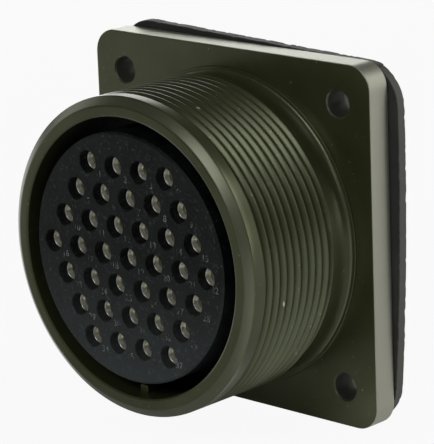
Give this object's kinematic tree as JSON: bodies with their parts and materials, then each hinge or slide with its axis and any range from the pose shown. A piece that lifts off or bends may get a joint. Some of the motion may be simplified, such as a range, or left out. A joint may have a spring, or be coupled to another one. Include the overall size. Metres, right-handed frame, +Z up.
{
  "type": "circular_connector_receptacle",
  "caption": "Square-flange circular connector receptacle with an olive drab threaded shell, black insert, silver socket contacts with solder cups and a rubber flange gasket.",
  "frame": {"origin": "The middle of the flange's rear face, on the mating axis.", "axes": "Y is the mating axis: the open face looks along -Y and the solder cups along +Y. +Z is up, with the polarising key at the bottom; X runs to the right seen from the front."},
  "size_m": [0.053, 0.0358, 0.052],
  "materials": {
    "shell_olive_plate": "satin",
    "insert_black": "satin",
    "spring_steel": "satin",
    "gasket_rubber": "matte",
    "hood_steel": "satin",
    "contact_silver_plate": "satin"
  },
  "bodies": {
    "root": {"shell": "shell_olive_plate", "front_insert": "insert_black", "rear_insert": "insert_black", "insert_retaining_ring": "spring_steel", "flange_gasket": "gasket_rubber", "contact_hoods": "hood_steel", "socket_contact_01": "contact_silver_plate", "socket_contact_02": "contact_silver_plate", "socket_contact_03": "contact_silver_plate", "socket_contact_04": "contact_silver_plate", "socket_contact_05": "contact_silver_plate", "socket_contact_06": "contact_silver_plate", "socket_contact_07": "contact_silver_plate", "socket_contact_08": "contact_silver_plate", "socket_contact_09": "contact_silver_plate", "socket_contact_10": "contact_silver_plate", "socket_contact_11": "contact_silver_plate", "socket_contact_12": "contact_silver_plate", "socket_contact_13": "contact_silver_plate", "socket_contact_14": "contact_silver_plate", "socket_contact_15": "contact_silver_plate", "socket_contact_16": "contact_silver_plate", "socket_contact_17": "contact_silver_plate", "socket_contact_18": "contact_silver_plate", "socket_contact_19": "contact_silver_plate", "socket_contact_20": "contact_silver_plate", "socket_contact_21": "contact_silver_plate", "socket_contact_22": "contact_silver_plate", "socket_contact_23": "contact_silver_plate", "socket_contact_24": "contact_silver_plate", "socket_contact_25": "contact_silver_plate", "socket_contact_26": "contact_silver_plate", "socket_contact_27": "contact_silver_plate", "socket_contact_28": "contact_silver_plate", "socket_contact_29": "contact_silver_plate", "socket_contact_30": "contact_silver_plate", "socket_contact_31": "contact_silver_plate", "socket_contact_32": "contact_silver_plate", "socket_contact_33": "contact_silver_plate", "socket_contact_34": "contact_silver_plate", "socket_contact_35": "contact_silver_plate", "socket_contact_36": "contact_silver_plate", "socket_contact_37": "contact_silver_plate"}
  },
  "joints": []
}
